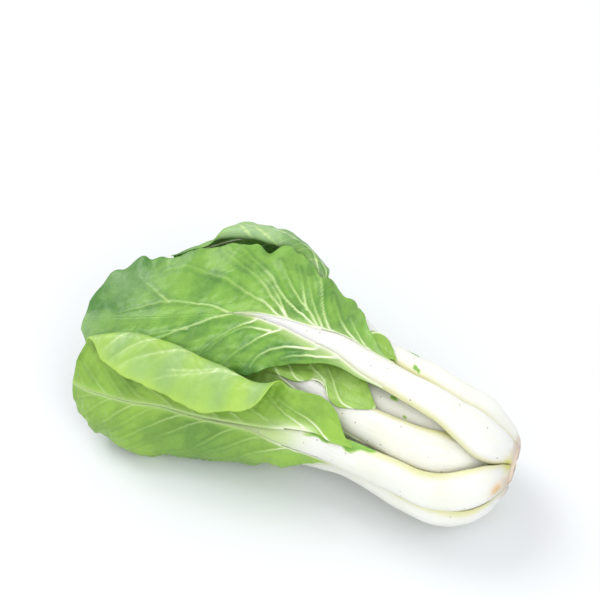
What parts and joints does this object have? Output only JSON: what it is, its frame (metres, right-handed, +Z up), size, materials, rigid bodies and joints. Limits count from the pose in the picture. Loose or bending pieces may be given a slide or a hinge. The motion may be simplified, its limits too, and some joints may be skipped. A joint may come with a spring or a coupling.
{
  "type": "shanghai bok choy bunch",
  "caption": "Head of bok choy lying on its side, thick white stalks joined at a cut base and broad veined green leaves, one folded over at its edge.",
  "frame": {"origin": "on the floor, under the middle of the head's bounding box", "axes": "+X along the head towards the cut base, -Y towards the side with the folded leaf, +Z up from the floor it lies on"},
  "size_m": [0.2984, 0.1516, 0.102],
  "materials": {
    "stalk": "smooth, moist, semi-gloss, faint ribs",
    "inner_stalk": "smooth, moist, semi-gloss, slightly yellow",
    "blade": "waxy leaf, semi-gloss, pale branching veins",
    "inner_blade": "waxy young leaf, semi-gloss, pale branching veins",
    "cut_stem": "cut plant tissue, dull, dried tan at its rim"
  },
  "bodies": {
    "root": {"top_leaf_stalk": "stalk", "top_leaf_blade": "blade", "front_leaf_stalk": "stalk", "front_leaf_blade": "blade", "low_front_leaf_stalk": "stalk", "low_front_leaf_blade": "blade", "under_leaf_stalk": "stalk", "under_leaf_blade": "blade", "back_leaf_stalk": "stalk", "back_leaf_blade": "blade", "high_back_leaf_stalk": "stalk", "high_back_leaf_blade": "blade", "inner_front_leaf_stalk": "inner_stalk", "inner_front_leaf_blade": "inner_blade", "inner_top_leaf_stalk": "inner_stalk", "inner_top_leaf_blade": "inner_blade", "inner_back_leaf_stalk": "inner_stalk", "inner_back_leaf_blade": "inner_blade", "inner_low_leaf_stalk": "inner_stalk", "inner_low_leaf_blade": "inner_blade", "inner_under_leaf_stalk": "inner_stalk", "inner_under_leaf_blade": "inner_blade", "heart_leaf_high_stalk": "inner_stalk", "heart_leaf_high_blade": "inner_blade", "heart_leaf_low_stalk": "inner_stalk", "heart_leaf_low_blade": "inner_blade", "cut_stem": "cut_stem"}
  },
  "joints": []
}
